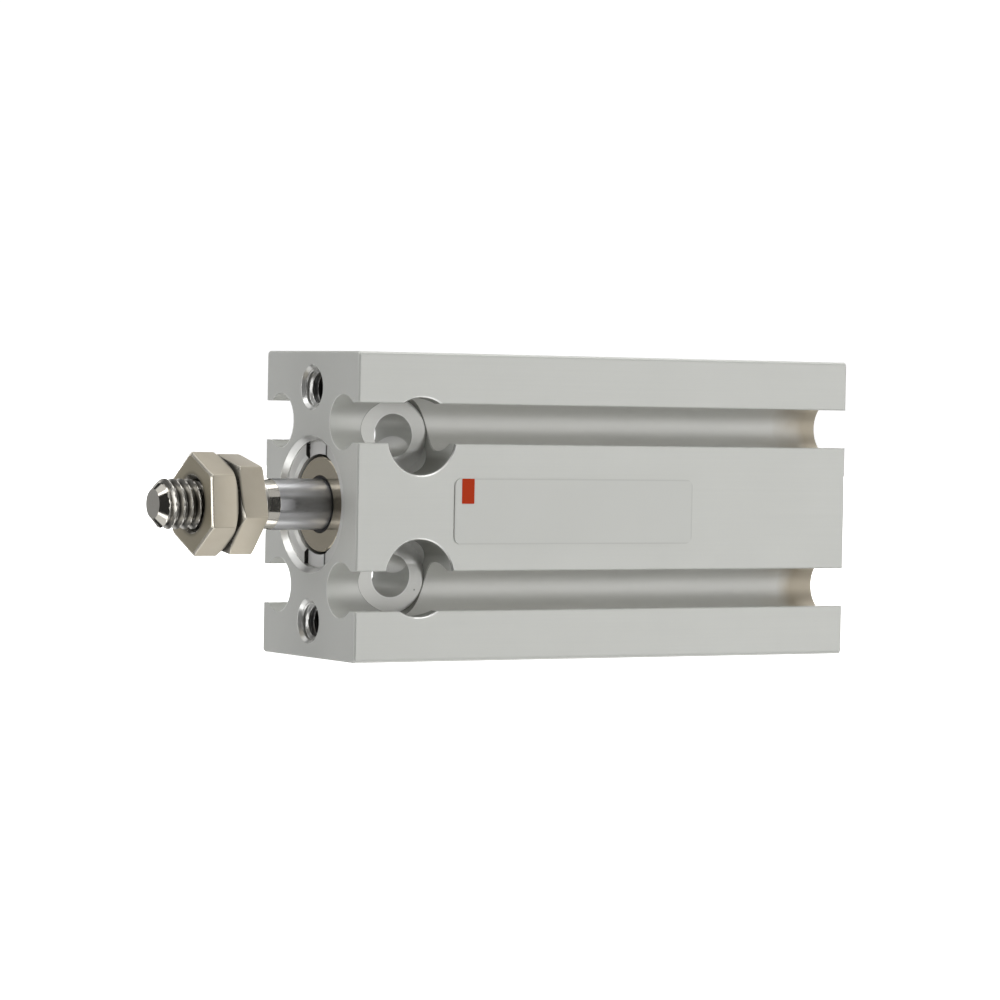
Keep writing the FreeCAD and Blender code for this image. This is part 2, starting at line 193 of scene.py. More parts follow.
# Hexagon nuts on the rod
nut = {
    "sides": 6,
    "acrossFlats": 7.0 * mm,
    # radius at which the corner cone leaves each end, over half the width: the chamfered faces lie together
    "endShares": {"rod_nut_outer": (1.07, 0.96), "rod_nut_inner": (0.96, 1.07)},
    "coneAngle": 30,
    "cornerRound": 0.12 * mm,
    "edgeBevel": 0.20 * mm,
    "edgeRound": 0.05 * mm,
    "hole": 1.785 * mm,
    "sink": 0.5 * mm,
    "turn": {"rod_nut_outer": 5, "rod_nut_inner": 17},
    "columnsPerFlat": 13,
    "columnsPerCorner": 4,
    "cornerShare": 0.05,
    "roundSteps": 5,
    "longestSetBack": 0.45,  # share of a side, so that the curves at its two ends never meet
    "sharpAngle": 30,
}


def softCorners(outline, size, steps):
    # Each corner of a closed outline becomes a short curve between points set back along its two sides.
    toBefore, toAfter = np.roll(outline, 1, 0) - outline, np.roll(outline, -1, 0) - outline
    lengthBefore = np.linalg.norm(toBefore, axis=-1, keepdims=True)
    lengthAfter = np.linalg.norm(toAfter, axis=-1, keepdims=True)
    start = outline + toBefore * np.minimum(size / lengthBefore, nut["longestSetBack"])
    end = outline + toAfter * np.minimum(size / lengthAfter, nut["longestSetBack"])
    share = np.linspace(0, 1, steps)[:, None, None]
    curves = [
        (1 - share) ** 2 * first + 2 * share * (1 - share) * corner + share**2 * last
        for first, corner, last in zip(start, outline, end)
    ]
    return np.vstack(curves)


def rodNut(node):
    # The section (x, r) runs from the hole over a face, down the corner cone or the thin edge bevel, along a
    # flat and back. A flat's distance from the axis is a / cos(angle from its middle), with an arc at each
    # corner.
    low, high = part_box(node)
    half, rounding = nut["acrossFlats"] / 2, nut["cornerRound"]
    halfSide = np.pi / nut["sides"]
    flat = np.linspace(-1, 1, nut["columnsPerFlat"]) * (1 - nut["cornerShare"])
    corner = 1 - nut["cornerShare"] * np.linspace(0, 1, nut["columnsPerCorner"] + 1)[:-1]
    share = np.sort(np.concatenate([flat, corner, -corner[1:]]))
    fromMiddle = halfSide * np.tile(share, nut["sides"])
    angle = np.repeat(np.arange(nut["sides"]) * 2 * halfSide, len(share)) + fromMiddle
    fromCorner = halfSide - np.abs(fromMiddle)
    arcCentre = (half - rounding) / np.cos(halfSide)
    arcStart = np.arctan2(rounding * np.sin(halfSide), arcCentre + rounding * np.cos(halfSide))
    inArc = np.maximum(rounding**2 - (arcCentre * np.sin(fromCorner)) ** 2, 0)
    rounded = arcCentre * np.cos(fromCorner) + np.sqrt(inArc)
    reach = np.where(fromCorner < arcStart, rounded, half / np.cos(fromMiddle))
    slope = np.tan(np.radians(nut["coneAngle"]))
    first, last = [np.minimum(cone * half, reach - nut["edgeBevel"]) for cone in nut["endShares"][node]]
    hole, sink = nut["hole"], nut["sink"]
    section = [
        (low.x + sink, hole), (low.x, hole + sink), (low.x, first), (low.x + (reach - first) * slope, reach),
        (high.x - (reach - last) * slope, reach), (high.x, last), (high.x, hole + sink),
        (high.x - sink, hole),
    ]
    outline = np.stack([np.stack(np.broadcast_arrays(x, radius, angle)[:2], -1) for x, radius in section])
    outline = softCorners(outline, nut["edgeRound"], nut["roundSteps"])
    turned = np.pi - (angle + np.radians(nut["turn"][node]))
    grid = roundAboutX(outline[..., 0], outline[..., 1], turned)
    piece = addPiece(node + "_plated", grid, "rod", nut["sharpAngle"], wrapRows=True)
    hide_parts(node)
    return piece


# Threads cut in the front holes and the air ports
tapped = {
    "front": {"pitch": 0.5 * mm, "toothDepth": 0.27 * mm, "length": 4.9 * mm, "start": 0.24 * mm},
    "port": {"pitch": 0.8 * mm, "toothDepth": 0.43 * mm, "length": 4.3 * mm, "start": 0.24 * mm},
    "wall": 0.012 * mm,
    "clearance": 0.0024 * mm,
    "rowsPerPitch": 14,
    "around": 72,
    "fade": 0.6,  # in pitches
    "sharpAngle": 50,
}


def tappedThread(name, size, radius, place, down):
    # A thin sleeve on the hole's wall: outside it is plain, inside the tooth stands in by toothDepth and
    # fades out at both ends. It is made along X from the origin, then turned so that X goes down the hole.
    start, end = size["start"], size["length"]
    x = np.arange(start, end, size["pitch"] / tapped["rowsPerPitch"])[:, None]
    angle = np.linspace(0, fullTurn, tapped["around"], endpoint=False)[None, :]
    fade = size["pitch"] * tapped["fade"]
    strength = smooth(start, start + fade, x) * (1 - smooth(end - fade, end, x))
    outside = radius - tapped["clearance"]
    inside = radius - tapped["wall"] - size["toothDepth"] * strength * threadHeight(x, angle, size["pitch"])
    sleeve = np.vstack([roundAboutX(x, inside, angle), roundAboutX(x[::-1], outside, angle)])
    turn = np.array(Vector((1, 0, 0)).rotation_difference(Vector(down)).to_matrix())
    grid = sleeve @ turn.T + np.array(place)
    piece = addPiece(name, grid, "barrel", tapped["sharpAngle"], wrapRows=True)
    points = np.empty(len(piece.data.vertices) * 3)
    piece.data.vertices.foreach_get("co", points)
    depth = (points.reshape(-1, 3) - np.array(place)) @ np.array(down)
    piece.data.attributes.new("depth", "FLOAT", "POINT").data.foreach_set("value", depth)
    return piece


def tappedThreads():
    # Two threads in the block's front and one in each air port on its top.
    front = mounts["front_bolts"]
    level = front["dims"]["spacing_y_mm"] * mm / 2
    radius = front["dims"]["hole_r_mm"] * mm
    pieces = []
    for side, name in ((1, "front_tap_thread_upper"), (-1, "front_tap_thread_lower")):
        pieces.append(tappedThread(name, tapped["front"], radius, (0, 0, side * level), (1, 0, 0)))
    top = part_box("cylinder_body")[1].z
    for port in ("front_port", "rear_port"):
        radius = mounts[port]["dims"]["r_mm"] * mm
        place = (mounts[port]["pos_m"][0], 0, top)
        pieces.append(tappedThread(port + "_thread", tapped["port"], radius, place, (0, 0, -1)))
    return pieces


# Plain red block printed on the film
redBlock = {
    "width": 1.12 * mm,
    "height": 1.96 * mm,
    "thickness": 0.015 * mm,
    "fromEnd": 0.62 * mm,
    "fromTop": 0.02 * mm,
    "cornerRound": 0.06 * mm,
    "stepsPerCorner": 5,
    "sharpAngle": 40,
}


def redPrint():
    # A rounded rectangle carried out from the film: arcs round four centres, and a middle point each side.
    low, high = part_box("label_film")
    halfWidth, halfHeight = redBlock["width"] / 2, redBlock["height"] / 2
    middleX = low.x + redBlock["fromEnd"] + halfWidth
    middleZ = high.z - redBlock["fromTop"] - halfHeight
    quarter = np.linspace(0, fullTurn / 4, redBlock["stepsPerCorner"])
    angle = np.concatenate([quarter + corner * fullTurn / 4 for corner in range(4)])
    signX = np.repeat([1, -1, -1, 1], len(quarter))
    signZ = np.repeat([1, 1, -1, -1], len(quarter))
    rim = redBlock["cornerRound"]
    x = middleX + signX * (halfWidth - rim) + rim * np.cos(angle)
    z = middleZ + signZ * (halfHeight - rim) + rim * np.sin(angle)
    film, outside = low.y, low.y - redBlock["thickness"]
    middle = np.full_like(x, middleX)
    rows = [(middle, film, middleZ), (x, film, z), (x, outside, z), (middle, outside, middleZ)]
    grid = np.stack([np.stack(np.broadcast_arrays(*row), -1) for row in rows])
    piece = addPiece("label_colour_block", grid, "barrel", redBlock["sharpAngle"])
    return piece


rodPiece, rodFinish = pistonRod()
nutPieces = [rodNut(node) for node in ("rod_nut_outer", "rod_nut_inner")]
threadPieces = tappedThreads()
redPiece = redPrint()
print("shapes made:", 2 + len(nutPieces) + len(threadPieces), "pieces")


# Materials

def linear(hexColour):
    # sRGB hex to the linear colour that shaders use, by the standard's own curve.
    channels = np.array([int(hexColour[i:i + 2], 16) for i in (1, 3, 5)]) / 255
    curve = ((channels + 0.055) / 1.055) ** 2.4
    return (*np.where(channels <= 0.04045, channels / 12.92, curve), 1.0)


def addNode(material, kind, inputs=None, **settings):
    # A shader node of a material or the world. Settings are its own properties. An input takes a value or the
    # socket that feeds it, and a pair of inputs takes a pair. Inputs 1 to 4 of a Map Range are the limits it
    # reads from and the limits it maps to, and 0, 6 and 7 of a Mix are its share and two colours.
    node = material.node_tree.nodes.new("ShaderNode" + kind)
    for name, value in settings.items():
        setattr(node, name, value)
    for name, value in (inputs or {}).items():
        for socket, given in zip(name, value) if isinstance(name, tuple) else [(name, value)]:
            if isinstance(given, bpy.types.NodeSocket):
                material.node_tree.links.new(given, node.inputs[socket])
            else:
                node.inputs[socket].default_value = given
    return node.outputs


def newMaterial(name, shader):
    # A Principled material; shader gives its sockets, which the caller's nodes may feed afterwards.
    material = bpy.data.materials.new(name)
    material.use_nodes = True
    principled = material.node_tree.nodes["Principled BSDF"]
    for socket, value in shader.items():
        principled.inputs[socket].default_value = value
    return material, principled.inputs


def feed(material, sockets, outputs):
    # Links each output into the socket of that name.
    for name, output in outputs.items():
        material.node_tree.links.new(output, sockets[name])


def placeOnPart(material):
    # What masks read: the place in Object coordinates, whole and by axis, the way that the surface faces, and
    # the distance from the rod's axis.
    coordinates = addNode(material, "TexCoord")
    axes = addNode(material, "SeparateXYZ", {0: coordinates["Object"]})
    across = addNode(material, "CombineXYZ", {1: axes["Y"], 2: axes["Z"]})[0]
    return {
        "place": coordinates["Object"], "x": axes["X"], "y": axes["Y"], "z": axes["Z"],
        "facing": addNode(material, "SeparateXYZ", {0: coordinates["Normal"]}),
        "radius": addNode(material, "VectorMath", {0: across}, operation="LENGTH")["Value"],
    }


def layColours(material, ground, layers):
    # Colours laid over one another: each layer shows its hex colour as far as its mask says, from 0 to 1.
    tone = linear(ground)
    for mask, colour in layers:
        tone = addNode(material, "Mix", {0: mask, 6: tone, 7: linear(colour)}, data_type="RGBA")[2]
    return tone


def scatteredDots(material, place, dots):
    # Small dots, at most one to a cell: full up to the core, a share of the radius, and gone at the radius.
    fromPoint = addNode(material, "TexVoronoi", {"Vector": place, "Scale": 1 / dots["cell"]})["Distance"]
    rim = dots["radius"] / dots["cell"]
    limits = (rim, dots["core"] * rim)
    return addNode(material, "MapRange", {0: fromPoint, (1, 2): limits, 4: dots["strength"]})[0]


# Finish of the block
block = {
    # Painted tones: light in the grooves and holes, shade on the seat walls.
    "colours": {
        "side": "#D9DAD5", "inside": "#EAEAE6", "wall": "#9C9C97", "bright": "#F6F6F3", "ends": "#CDCECA",
        "cut": "#E6E6E3", "warm": "#BFB6A4", "speck": "#6E6E6A",
    },
    "metallic": (0.4, 0.9),  # as etched, as cut
    "rough": (0.44, 0.28),  # as etched, as cut
    "roughGrain": 0.06,
    "grain": 0.12 * mm,  # the etch is about 0.03 mm, drawn coarser so that it shows
    "grainDepth": 0.004 * mm,
    "grainStrength": 0.25,
    "edge": 0.05 * mm,
    "cloud": 5.0 * mm,
    "cloudSwing": 0.06,
    "drawLines": 0.22 * mm,
    "lineStretch": 0.012,
    "lineSwing": 0.04,
    "specks": {"cell": 5.5 * mm, "radius": 0.10 * mm, "core": 0.6, "strength": 0.7},
    # Where each tone starts and is full: the first pair is a share of the normal, and the next three are
    # depths under a face
    "endFacing": (0.8, 0.95),
    "underTop": (0.1 * mm, 0.3 * mm),
    "underSide": (0.05 * mm, 0.3 * mm),
    "bevelUnderSide": (0.20 * mm, 0.14 * mm),
    "grooveDeeper": (0.5 * mm, 3.5 * mm),
    "grooveAxis": (0, 5.11 * mm, 6.5 * mm),
    "grooveRim": (2.26 * mm, 2.15 * mm),
    "grooveInner": (4.9 * mm, 4.4 * mm),
    "glandMouth": 5.41 * mm,
    "offGland": (5.6 * mm, 6.0 * mm),
    "tapMouth": 1.80 * mm,
    "tapDepth": (8.0 * mm, 7.0 * mm),
    "holeMouth": 1.8 * mm,
    "seatWall": (3.0 * mm, 0.03 * mm),  # radius, and how far to both sides
    "seatBevel": (3.085 * mm, 0.055 * mm),
    "warmFromRear": (1.7 * mm, -0.6 * mm),
    "warmDrift": 4.0 * mm,
}


def blockMasks(material, here, cloud):
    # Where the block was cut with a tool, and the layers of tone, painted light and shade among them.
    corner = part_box("cylinder_body")[1]
    seat, taps = mounts["side_bolts"], mounts["front_bolts"]
    x, y, radius = here["x"], here["y"], here["radius"]
    endOn = addNode(material, "Math", {0: here["facing"]["X"]}, operation="ABSOLUTE")[0]
    inset = addNode(material, "Math", {0: y}, operation="ABSOLUTE")[0]
    height = addNode(material, "Math", {0: here["z"]}, operation="ABSOLUTE")[0]

    # Distances from the axes of the nearest tapped hole, side hole and groove
    tapAxis = (0, 0, taps["dims"]["spacing_y_mm"] * mm / 2)
    seatAxis = (seat["pos_m"][0], 0, seat["dims"]["spacing_y_mm"] * mm / 2)
    distances = []
    for sockets, axis in (
        ({1: y, 2: height}, tapAxis),
        ({0: x, 2: height}, seatAxis),
        ({1: inset, 2: height}, block["grooveAxis"]),
    ):
        across = addNode(material, "CombineXYZ", sockets)[0]
        distances.append(addNode(material, "VectorMath", {0: across, 1: axis}, operation="DISTANCE")["Value"])
    fromTap, fromSeat, fromGroove = distances

    # Milled ends with painted light on the rims of the grooves in them, and painted light inside the grooves
    ends = addNode(material, "MapRange", {0: endOn, (1, 2): block["endFacing"]})[0]
    innerHalf = addNode(material, "MapRange", {0: inset, (1, 2): block["grooveInner"], 4: ends})[0]
    paintedRimLight = addNode(material, "MapRange", {0: fromGroove, (1, 2): block["grooveRim"], 4: innerHalf})[0]
    underTop = corner.z - np.array(block["underTop"])
    underSide = corner.y - np.array(block["underSide"])
    within = addNode(material, "MapRange", {0: height, (1, 2): underTop})[0]
    offEnds = addNode(material, "MapRange", {0: endOn, (2, 1): block["endFacing"], 4: within})[0]
    # Painted light inside the grooves, fuller further in from the front.
    groove = addNode(material, "MapRange", {0: inset, (1, 2): underSide, 4: offEnds})[0]
    paintedGrooveLight = addNode(material, "MapRange", {0: x, (1, 2): block["grooveDeeper"], 4: groove})[0]

    # Side holes with painted shade on their seats' walls, and what a drill or a form tool cut bright
    wall = addNode(material, "Math", {0: fromSeat, (1, 2): block["seatWall"]}, operation="COMPARE")[0]
    # Painted light inside the side holes.
    paintedHoleLight = addNode(material, "Math", {0: fromSeat, 1: block["holeMouth"]}, operation="LESS_THAN")[0]
    inGland = addNode(material, "Math", {0: radius, 1: block["glandMouth"]}, operation="LESS_THAN")[0]
    nearTap = addNode(material, "Math", {0: fromTap, 1: block["tapMouth"]}, operation="LESS_THAN")[0]
    inTap = addNode(material, "MapRange", {0: x, (1, 2): block["tapDepth"], 4: nearTap})[0]
    bevelLevel = corner.y - np.array(block["bevelUnderSide"])
    nearSeat = addNode(material, "Math", {0: fromSeat, (1, 2): block["seatBevel"]}, operation="COMPARE")[0]
    onBevel = addNode(material, "MapRange", {0: inset, (1, 2): bevelLevel, 4: nearSeat})[0]
    inHoles = addNode(material, "Math", {0: inGland, 1: inTap}, operation="MAXIMUM")[0]
    cut = addNode(material, "Math", {0: inHoles, 1: onBevel}, operation="MAXIMUM")[0]

    # A warm tone in the rear ends of the grooves, with a cloudy edge
    warmEdge = addNode(material, "Math", {0: cloud, 1: block["warmDrift"], 2: x}, operation="MULTIPLY_ADD")[0]
    offGland = addNode(material, "MapRange", {0: radius, (1, 2): block["offGland"], 4: groove})[0]
    warmStart = corner.x - np.array(block["warmFromRear"])
    warm = addNode(material, "MapRange", {0: warmEdge, (1, 2): warmStart, 4: offGland})[0]
    # Among these layers: painted light in grooves, holes and on rims, painted shade on seat walls.
    return cut, [
        (paintedGrooveLight, "inside"), (wall, "wall"), (paintedHoleLight, "bright"), (ends, "ends"), (paintedRimLight, "bright"),
        (cut, "cut"), (warm, "warm"),
    ]


def anodisedAluminium():
    # Extruded aluminium, etched matte and clear anodised: an even pale grey with a silky grain. The oxide
    # film scatters, so it is part metal and part matte. Milled ends are greyer, and bevels cut with a form
    # tool glint.
    # Light is painted into the grooves, side holes and groove rims, and shade onto the seat walls.
    material, shader = newMaterial("matte clear anodised aluminium", {
        "Metallic": block["metallic"][0], "Roughness": block["rough"][0],
    })
    here = placeOnPart(material)
    place = here["place"]
    cloud = addNode(material, "TexNoise", {"Vector": place, "Scale": 1 / block["cloud"], "Detail": 3})[0]
    stretch = addNode(material, "Mapping", {0: place, "Scale": (block["lineStretch"], 1, 1)})[0]
    lineNoise = {"Vector": stretch, "Scale": 1 / block["drawLines"], "Detail": 2}
    lines = addNode(material, "TexNoise", lineNoise)[0]
    grain = addNode(material, "TexNoise", {"Vector": place, "Scale": 1 / block["grain"], "Detail": 2})[0]

    cut, masks = blockMasks(material, here, cloud)
    layers = [(mask, block["colours"][name]) for mask, name in masks]
    layers.append((scatteredDots(material, place, block["specks"]), block["colours"]["speck"]))
    tint = layColours(material, block["colours"]["side"], layers)
    cloudSwing, lineSwing = block["cloudSwing"], block["lineSwing"]
    steady = 1 - (cloudSwing + lineSwing) / 2
    tone = addNode(material, "Math", {0: cloud, 1: cloudSwing, 2: steady}, operation="MULTIPLY_ADD")[0]
    level = addNode(material, "Math", {0: lines, 1: lineSwing, 2: tone}, operation="MULTIPLY_ADD")[0]
    rough = addNode(material, "MapRange", {0: cut, (3, 4): block["rough"]})[0]
    grainy = addNode(material, "Math", {
        0: grain, 1: block["roughGrain"], 2: rough,
    }, operation="MULTIPLY_ADD")[0]
    edge = addNode(material, "Bevel", {"Radius": block["edge"]}, samples=6)[0]
    bump = addNode(material, "Bump", {
        "Strength": block["grainStrength"], "Distance": block["grainDepth"], "Height": grain, "Normal": edge,
    })[0]
    feed(material, shader, {
        "Base Color": addNode(material, "HueSaturation", {"Value": level, "Color": tint})[0],
        "Metallic": addNode(material, "MapRange", {0: cut, (3, 4): block["metallic"]})[0],
        "Roughness": grainy,
        "Normal": bump,
    })
    return material


# Finish of the threads in the block
cutThread = {
    "bare": "#D6D6D3",
    # The dark tone is painted shade further down the hole.
    "shadeColour": "#1A1A18",
    "shadeDepth": (0.5 * mm, 1.8 * mm),
    "metallic": 0.8,
    "rough": 0.25,
    "roughGrain": 0.1,
    "grain": 0.15 * mm,
}


def tappedAluminium():
    # A thread cut in the block: bright bare metal at the mouth, darkened by painted shade further down.
    material, shader = newMaterial("tapped aluminium", {
        "Metallic": cutThread["metallic"], "Roughness": cutThread["rough"],
    })
    place = addNode(material, "TexCoord")["Object"]
    depth = addNode(material, "Attribute", attribute_name="depth")["Fac"]
    darkMask = addNode(material, "MapRange", {0: depth, (1, 2): cutThread["shadeDepth"]})[0]
    grain = addNode(material, "TexNoise", {"Vector": place, "Scale": 1 / cutThread["grain"], "Detail": 2})[0]
    rough = addNode(material, "Math", {
        0: grain, 1: cutThread["roughGrain"], 2: cutThread["rough"],
    }, operation="MULTIPLY_ADD")[0]
    tone = layColours(material, cutThread["bare"], [(darkMask, cutThread["shadeColour"])])
    feed(material, shader, {"Base Color": tone, "Roughness": rough})
    return material


# Painted light and shade on the turned pieces: where each mark starts and is full
paintedShading = {
    # The first tone is painted shade, the second painted light.
    "shadeTone": "#14130F",
    "lightTone": "#FAFAF8",
    "slotFacing": (0.8, 0.9),  # share of the normal across the slots
    "slotReach": (2.1 * mm, 2.0 * mm),
    "slotFloor": (0.80 * mm, 0.84 * mm),
    "slotFoot": (-0.75 * mm, -0.95 * mm),
    "slotBack": (0.95 * mm, 0.90 * mm),
    "joint": (3.74 * mm, 3.76 * mm),
    "behindTip": (0.7 * mm, 0.9 * mm),
    "roots": (1.84 * mm, 1.63 * mm),
    "rootShade": 0.75,
    "rodShadeEdge": (-2.2 * mm, 0.8 * mm),
    "rodShadeStrength": 0.45,
}


def slotPaintedLightAndShade(material, here):
    # Spanner slots of the ring: painted light on the floor, painted shade on the sides, which face along Y
    # near the middle of the ring, and a painted shadow at the foot of one side.
    across = addNode(material, "Math", {0: here["facing"]["Y"]}, operation="ABSOLUTE")[0]
    inset = addNode(material, "Math", {0: here["y"]}, operation="ABSOLUTE")[0]
    side = addNode(material, "MapRange", {0: across, (1, 2): paintedShading["slotFacing"]})[0]
    sides = addNode(material, "MapRange", {0: inset, (1, 2): paintedShading["slotReach"], 4: side})[0]
    floor = addNode(material, "MapRange", {0: here["x"], (1, 2): paintedShading["slotFloor"]})[0]
    foot = addNode(material, "MapRange", {0: here["y"], (1, 2): paintedShading["slotFoot"], 4: floor})[0]
    shadeMask = addNode(material, "Math", {0: sides, 1: foot}, operation="MAXIMUM")[0]
    layers = []
    for mask, colour in ((floor, paintedShading["lightTone"]), (shadeMask, paintedShading["shadeTone"])):
        inSlot = addNode(material, "MapRange", {0: here["x"], (1, 2): paintedShading["slotBack"], 4: mask})[0]
        layers.append((inSlot, colour))
    return layers


def jointPaintedShade(material, here):
    # Painted shade at the bottom of the narrow joint round the cover's boss.
    shadeMask = addNode(material, "MapRange", {0: here["radius"], (1, 2): paintedShading["joint"]})[0]
    return [(shadeMask, paintedShading["shadeTone"])]


def rootPaintedShade(material, here):
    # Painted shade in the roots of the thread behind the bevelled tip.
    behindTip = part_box("piston_rod")[0].x + np.array(paintedShading["behindTip"])
    behind = addNode(material, "MapRange", {0: here["x"], (1, 2): behindTip, 4: paintedShading["rootShade"]})[0]
    shadeMask = addNode(material, "MapRange", {0: here["radius"], (1, 2): paintedShading["roots"], 4: behind})[0]
    return [(shadeMask, paintedShading["shadeTone"])]


def rodPaintedShade(material, here):
    # Painted shade on the rod near the block and inside it, for the dark reflection of the block's front.
    darkMask = addNode(material, "MapRange", {0: here["x"], (1, 2): paintedShading["rodShadeEdge"], 4: paintedShading["rodShadeStrength"]})[0]
    return [(darkMask, paintedShading["shadeTone"])]


# Turned metals, each with the spacing and the depth of its rings
turnedMetals = {
    # pale grey with faint rings, part matte from its oxide
    "turned_aluminium": {
        "name": "turned aluminium", "colours": ("#D6D6D3", "#DEDEDB"), "metallic": 0.35, "rough": 0.37,
        "rings": 0.07 * mm, "depth": 0.002 * mm, "paintedLayers": slotPaintedLightAndShade,
    },
    # a warm mirror with very shallow rings
    "plated_brass": {
        "name": "polished nickel on brass", "colours": ("#CBC2AE", "#D2C9B6"), "metallic": 0.9, "rough": 0.13,
        "rings": 0.06 * mm, "depth": 0.0006 * mm, "paintedLayers": jointPaintedShade,
    },
    # yellow, with plain tool rings
    "piston_brass": {
        "name": "turned brass", "colours": ("#C6A15C", "#D2AF6C"), "metallic": 1.0, "rough": 0.28,
        "rings": 0.08 * mm, "depth": 0.002 * mm,
    },
    # cool grey, with reflections drawn out along X by the grinding marks round the rod
    "polished_rod_steel": {
        "name": "ground and polished steel", "colours": ("#C9C9CB", "#D0D0D2"), "metallic": 1.0,
        "rough": 0.34, "rings": 0.05 * mm, "depth": 0.0002 * mm, "paintedLayers": rodPaintedShade, "spread": 0.9,
    },
    # smooth and bright, as the tool left it
    "turned_shoulder": {
        "name": "turned steel", "colours": ("#CCC8BF", "#D3CFC6"), "metallic": 1.0, "rough": 0.12,
        "rings": 0.05 * mm, "depth": 0.0004 * mm,
    },
    # burnished crests over roots darkened by painted shade
    "rolled_thread": {
        "name": "rolled steel thread", "colours": ("#C0BDB6", "#CBC8C1"), "metallic": 1.0, "rough": 0.30,
        "rings": 0.10 * mm, "depth": 0.001 * mm, "paintedLayers": rootPaintedShade,
    },
}
turning = {"cloud": 2.5 * mm, "roughSwing": 0.12, "ringStrength": 0.5}


def turnedMetal(finish):
    # Metal turned on a lathe: fine rings about the rod's axis that catch the light, over slight tone changes,
    # with painted light and shade laid over them. A spread draws reflections out along X.
    spread = finish.get("spread", 0)
    material, shader = newMaterial(finish["name"], {
        "Metallic": finish["metallic"], "Roughness": finish["rough"], "Anisotropic": spread,
    })
    if spread:
        feed(material, shader, {"Tangent": addNode(material, "CombineXYZ", {0: 1.0})[0]})
    here = placeOnPart(material)
    along = addNode(material, "Math", {0: here["radius"], 1: here["x"]}, operation="ADD")[0]
    ringNoise = {"W": along, "Scale": 1 / finish["rings"], "Detail": 3}
    rings = addNode(material, "TexNoise", ringNoise, noise_dimensions="1D")[0]
    cloudNoise = {"Vector": here["place"], "Scale": 1 / turning["cloud"], "Detail": 3}
    cloud = addNode(material, "TexNoise", cloudNoise)[0]
    first, second = finish["colours"]
    paintedLayers = finish["paintedLayers"](material, here) if "paintedLayers" in finish else []
    swing = turning["roughSwing"]
    rough = addNode(material, "Math", {
        0: rings, 1: swing, 2: finish["rough"] - swing / 2,
    }, operation="MULTIPLY_ADD")[0]
    bump = addNode(material, "Bump", {
        "Strength": turning["ringStrength"], "Distance": finish["depth"], "Height": rings,
    })[0]
    tone = layColours(material, first, [(cloud, second), *paintedLayers])
    feed(material, shader, {"Base Color": tone, "Roughness": rough, "Normal": bump})
    return material


# Matter with grain all through, each with the size and the depth of its grain
grainedMatter = {
    # brown and open-grained, a little dull
    "bearing_bronze": {
        "name": "sintered bronze", "colours": ("#7E5C33", "#AD8450"), "grain": 0.09 * mm, "depth": 0.006 * mm,
        "shader": {"Metallic": 0.9, "Roughness": 0.42},
    },
    # nearly black, with a soft sheen
    "nitrile_rubber": {
        "name": "black nitrile rubber", "colours": ("#0C0C0C", "#1A1A1A"), "grain": 0.12 * mm,
        "depth": 0.004 * mm, "shader": {"Roughness": 0.5, "IOR": 1.52},
    },
    # dark brown and dull
    "bumper_rubber": {
        "name": "urethane bumper rubber", "colours": ("#33291D", "#463A2B"), "grain": 0.15 * mm,
        "depth": 0.004 * mm, "shader": {"Roughness": 0.55, "IOR": 1.5},
    },
    # charcoal grey, from fine dull crystals
    "spring_steel": {
        "name": "phosphated spring steel", "colours": ("#2C2A28", "#4A4744"), "grain": 0.08 * mm,
        "depth": 0.004 * mm, "shader": {"Metallic": 0.7, "Roughness": 0.46},
    },
    # dark grey and matte, like fired clay
    "bonded_magnet": {
        "name": "bonded ferrite", "colours": ("#1B1B1D", "#2C2C2F"), "grain": 0.10 * mm, "depth": 0.004 * mm,
        "shader": {"Metallic": 0.2, "Roughness": 0.55},
    },
    # flat ink with hardly any shine
    "red_print": {
        "name": "red screen print", "colours": ("#DA4520", "#E04923"), "grain": 0.2 * mm, "depth": 0.001 * mm,
        "shader": {"Roughness": 0.8, "Specular IOR Level": 0.15},
    },
}
grainStrength = 0.6


def speckledMatter(finish):
    # A body with grain all through, such as rubber or sintered bronze: two tones and a fine bump.
    material, shader = newMaterial(finish["name"], finish["shader"])
    place = addNode(material, "TexCoord")["Object"]
    grain = addNode(material, "TexNoise", {"Vector": place, "Scale": 1 / finish["grain"], "Detail": 4})[0]
    first, second = finish["colours"]
    bump = addNode(material, "Bump", {
        "Strength": grainStrength, "Distance": finish["depth"], "Height": grain,
    })[0]
    feed(material, shader, {"Base Color": layColours(material, first, [(grain, second)]), "Normal": bump})
    return material


# Finish of the nuts
plate = {
    "dark": "#B5AC9A", "light": "#C5BEAF", "pit": "#7A705F",
    # The darkest tone is painted shade at the hole's mouth and the nuts' joint.
    "face": "#A79F8B", "edge": "#E6E0D2", "shadeColour": "#1C1A15",
    "metallic": 0.65,
    "rough": (0.39, 0.22),  # flats, edges
    "roughCloud": 0.10,
    "cloud": 1.6 * mm,
    "fine": 0.10 * mm,
    "fineDepth": 0.003 * mm,
    "fineStrength": 0.3,
    "pits": {"cell": 2.4 * mm, "radius": 0.07 * mm, "core": 0.5, "strength": 0.6},
    # share of the normal along X at which an edge or a face starts and is full
    "offFlat": (0.2, 0.4),
    "offFace": (0.97, 0.92),
    "onFace": (0.97, 0.995),
    "mouth": (2.6 * mm, 2.05 * mm),
    "mouthShade": 0.85,
    "joint": (0.34 * mm, 0.12 * mm),
    "jointShade": 0.9,
}


